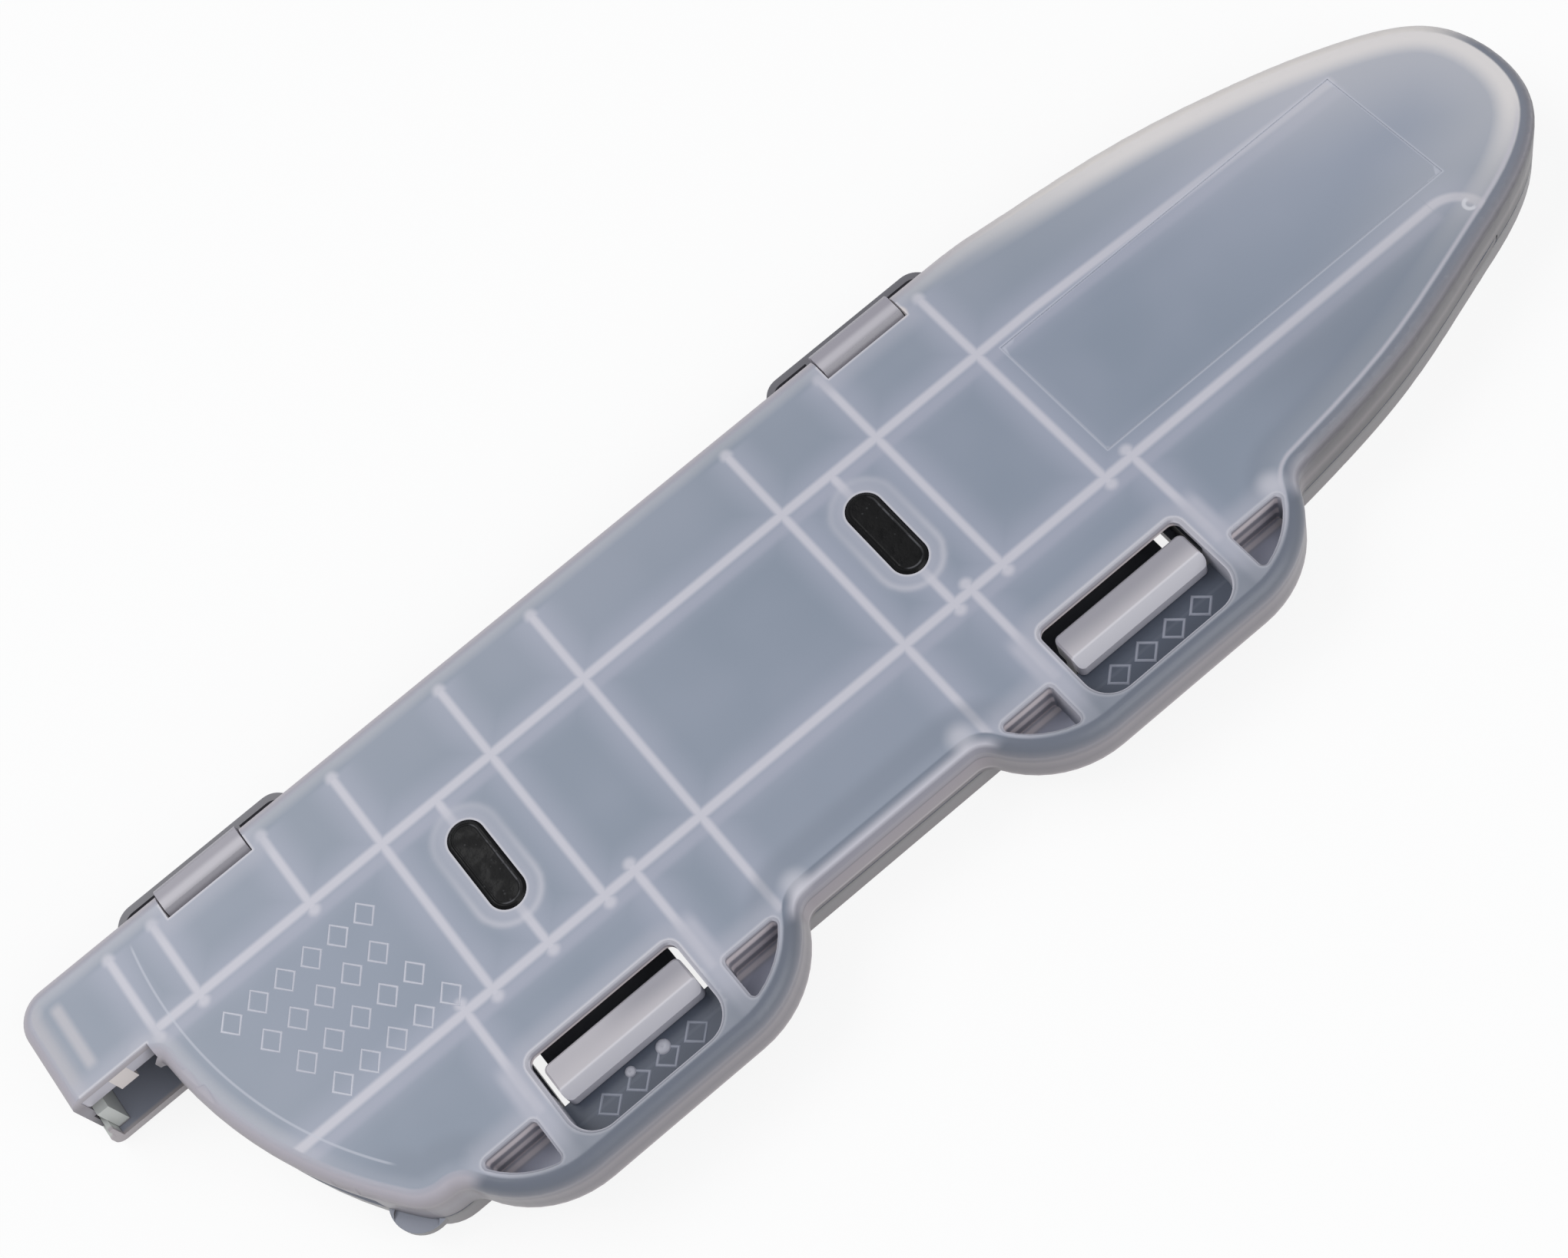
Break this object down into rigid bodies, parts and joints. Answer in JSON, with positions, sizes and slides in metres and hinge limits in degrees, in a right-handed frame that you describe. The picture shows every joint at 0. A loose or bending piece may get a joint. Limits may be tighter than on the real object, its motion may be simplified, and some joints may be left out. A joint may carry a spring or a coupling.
{
  "type": "knife blade guard",
  "caption": "Hinged clamshell blade guard for a kitchen knife, with snap latches, an open heel neck, ribbed walls and soft grip pads.",
  "frame": {"origin": "on the back face, halfway between the two hinges and midway between the two long ribs", "axes": "+X along the case towards the rounded tip, +Y towards the hinge side, +Z out of the front face"},
  "size_m": [0.2924, 0.0907, 0.0163],
  "materials": {
    "shell_plastic": "milky translucent polypropylene with a fine satin mould finish",
    "grip_rubber": "black elastomer, slightly glossy"
  },
  "bodies": {
    "back": {"back_shell": "shell_plastic", "back_pad_heel": "grip_rubber", "back_pad_tip": "grip_rubber"},
    "front": {"front_shell": "shell_plastic", "front_pad_heel": "grip_rubber", "front_pad_tip": "grip_rubber"},
    "latch_heel": {"latch_hook_heel": "shell_plastic"},
    "latch_tip": {"latch_hook_tip": "shell_plastic"}
  },
  "joints": [
    {"name": "lid_hinge", "type": "hinge", "parent": "back", "child": "front", "pos_m": [0, 0.0344, 0.0129], "axis": [-1, 0, 0], "range_deg": [0, 175]},
    {"name": "latch_heel_flex", "type": "hinge", "parent": "back", "child": "latch_heel", "pos_m": [-0.0329, -0.02, 0.0009], "axis": [-1, 0, 0], "range_deg": [0, 9], "stiffness_Nm_per_rad": 0.4},
    {"name": "latch_tip_flex", "type": "hinge", "parent": "back", "child": "latch_tip", "pos_m": [0.0712, -0.02, 0.0009], "axis": [-1, 0, 0], "range_deg": [0, 9], "stiffness_Nm_per_rad": 0.4}
  ]
}
